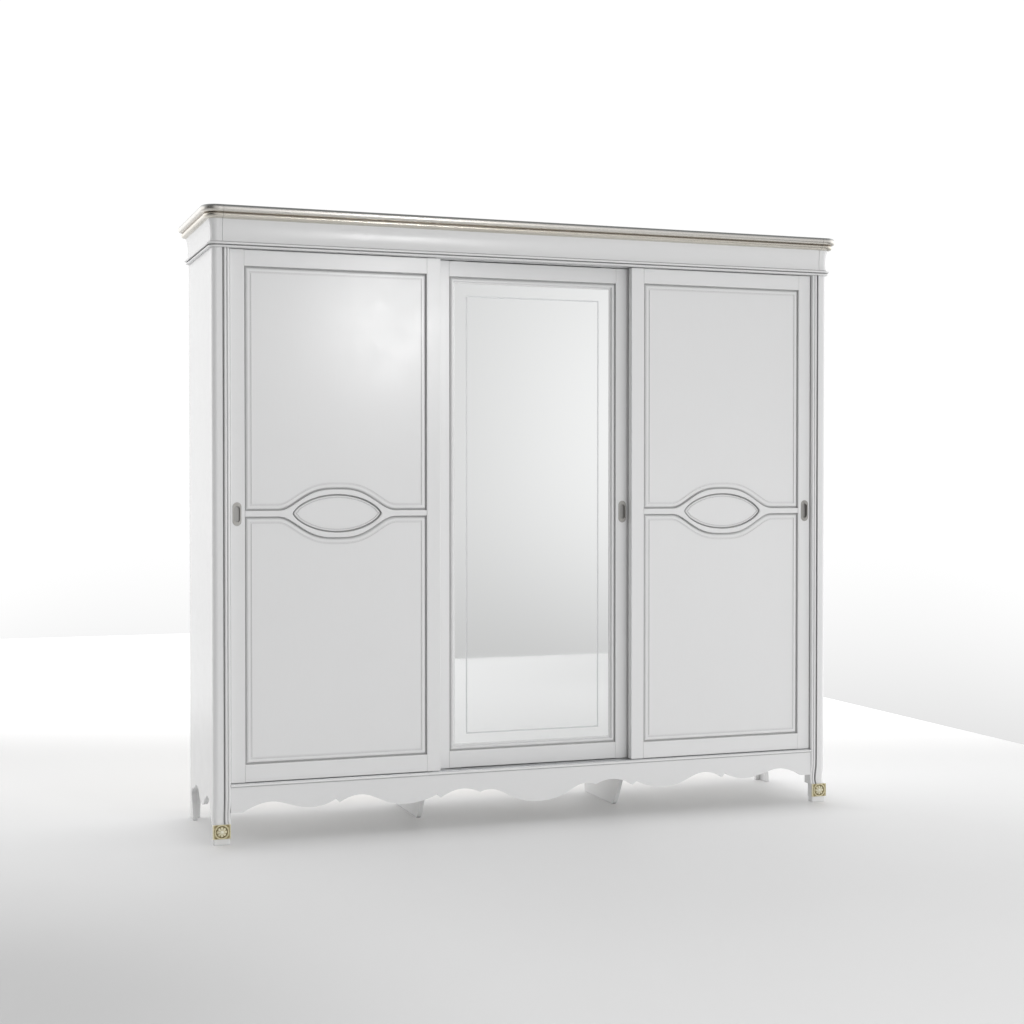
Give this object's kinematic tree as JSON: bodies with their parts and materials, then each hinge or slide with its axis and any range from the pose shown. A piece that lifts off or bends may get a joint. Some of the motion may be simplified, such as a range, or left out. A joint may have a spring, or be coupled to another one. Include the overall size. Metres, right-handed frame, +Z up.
{
  "type": "sliding-door armoire",
  "caption": "Wide white armoire with sliding panelled doors either side of a mirrored sliding door, gilded crown and feet.",
  "frame": {"origin": "on the floor, under the middle of the bounding box", "axes": "+X to the right seen from the front, -Y out of the doors, +Z up"},
  "size_m": [2.806, 0.636, 2.5],
  "materials": {
    "white_lacquer": "satin white lacquer on wood",
    "gilding": "antique gold leaf on carved wood",
    "silver_leaf": "champagne and silver leaf over wood",
    "mirror": "silvered glass",
    "backing": "raw board",
    "satin_nickel": "satin nickel",
    "zinc_steel": "zinc-plated steel",
    "track_aluminium": "anodised aluminium",
    "nylon": "nylon",
    "chrome_rail": "polished chrome"
  },
  "bodies": {
    "cabinet": {"apron_front": "white_lacquer", "back_panels": "white_lacquer", "base_moulding": "white_lacquer", "bottom_board": "white_lacquer", "bottom_track": "track_aluminium", "crown_beads": "white_lacquer", "crown_cap": "silver_leaf", "crown_corners": "white_lacquer", "frieze_front": "white_lacquer", "frieze_sides": "white_lacquer", "front_feet": "white_lacquer", "hanging_rails": "chrome_rail", "header_rail": "white_lacquer", "middle_feet": "white_lacquer", "partitions": "white_lacquer", "post_left": "white_lacquer", "post_right": "white_lacquer", "rear_feet": "white_lacquer", "rosette_left": "gilding", "rosette_right": "gilding", "shelf_pins": "zinc_steel", "shelves": "white_lacquer", "side_apron_left": "white_lacquer", "side_apron_right": "white_lacquer", "side_left": "white_lacquer", "side_right": "white_lacquer", "top_board": "white_lacquer", "top_track": "track_aluminium"},
    "left_door": {"left_door_eye_panel": "white_lacquer", "left_door_eye_rail": "white_lacquer", "left_door_lower_panel": "white_lacquer", "left_door_pull": "satin_nickel", "left_door_rails": "white_lacquer", "left_door_roller_brackets": "zinc_steel", "left_door_stiles": "white_lacquer", "left_door_top_guides": "nylon", "left_door_upper_panel": "white_lacquer"},
    "left_door_wheel_left": {"left_door_wheel_left": "nylon"},
    "left_door_wheel_right": {"left_door_wheel_right": "nylon"},
    "right_door": {"right_door_eye_panel": "white_lacquer", "right_door_eye_rail": "white_lacquer", "right_door_lower_panel": "white_lacquer", "right_door_pull": "satin_nickel", "right_door_rails": "white_lacquer", "right_door_roller_brackets": "zinc_steel", "right_door_stiles": "white_lacquer", "right_door_top_guides": "nylon", "right_door_upper_panel": "white_lacquer"},
    "right_door_wheel_left": {"right_door_wheel_left": "nylon"},
    "right_door_wheel_right": {"right_door_wheel_right": "nylon"},
    "middle_door": {"middle_door_backing": "backing", "middle_door_mirror": "mirror", "middle_door_moulding": "white_lacquer", "middle_door_pull": "satin_nickel", "middle_door_rails": "white_lacquer", "middle_door_roller_brackets": "zinc_steel", "middle_door_stiles": "white_lacquer", "middle_door_top_guides": "nylon"},
    "middle_door_wheel_left": {"middle_door_wheel_left": "nylon"},
    "middle_door_wheel_right": {"middle_door_wheel_right": "nylon"}
  },
  "joints": [
    {"name": "left_door_slide", "type": "slide", "parent": "cabinet", "child": "left_door", "axis": [1, 0, 0], "range_m": [0, 0.42]},
    {"name": "left_door_wheel_left_spin", "type": "hinge", "parent": "left_door", "child": "left_door_wheel_left", "pos_m": [-1.1575, -0.242, 0.2493], "axis": [0, 1, 0], "range_deg": [0, 1425.5]},
    {"name": "left_door_wheel_right_spin", "type": "hinge", "parent": "left_door", "child": "left_door_wheel_right", "pos_m": [-0.5575, -0.242, 0.2493], "axis": [0, 1, 0], "range_deg": [0, 1425.5]},
    {"name": "right_door_slide", "type": "slide", "parent": "cabinet", "child": "right_door", "axis": [1, 0, 0], "range_m": [-0.42, 0]},
    {"name": "right_door_wheel_left_spin", "type": "hinge", "parent": "right_door", "child": "right_door_wheel_left", "pos_m": [0.5575, -0.242, 0.2493], "axis": [0, 1, 0], "range_deg": [-1425.5, 0]},
    {"name": "right_door_wheel_right_spin", "type": "hinge", "parent": "right_door", "child": "right_door_wheel_right", "pos_m": [1.1575, -0.242, 0.2493], "axis": [0, 1, 0], "range_deg": [-1425.5, 0]},
    {"name": "middle_door_slide", "type": "slide", "parent": "cabinet", "child": "middle_door", "axis": [1, 0, 0], "range_m": [-0.855, 0.855]},
    {"name": "middle_door_wheel_left_spin", "type": "hinge", "parent": "middle_door", "child": "middle_door_wheel_left", "pos_m": [-0.3, -0.195, 0.2493], "axis": [0, 1, 0], "range_deg": [-2891.6, 2891.6]},
    {"name": "middle_door_wheel_right_spin", "type": "hinge", "parent": "middle_door", "child": "middle_door_wheel_right", "pos_m": [0.3, -0.195, 0.2493], "axis": [0, 1, 0], "range_deg": [-2891.6, 2891.6]}
  ],
  "couplings": [
    {"joint": "left_door_wheel_left_spin", "follows": "left_door_slide", "rad_per_m": 58.824},
    {"joint": "left_door_wheel_right_spin", "follows": "left_door_slide", "rad_per_m": 58.824},
    {"joint": "right_door_wheel_left_spin", "follows": "right_door_slide", "rad_per_m": 58.824},
    {"joint": "right_door_wheel_right_spin", "follows": "right_door_slide", "rad_per_m": 58.824},
    {"joint": "middle_door_wheel_left_spin", "follows": "middle_door_slide", "rad_per_m": 58.824},
    {"joint": "middle_door_wheel_right_spin", "follows": "middle_door_slide", "rad_per_m": 58.824}
  ]
}
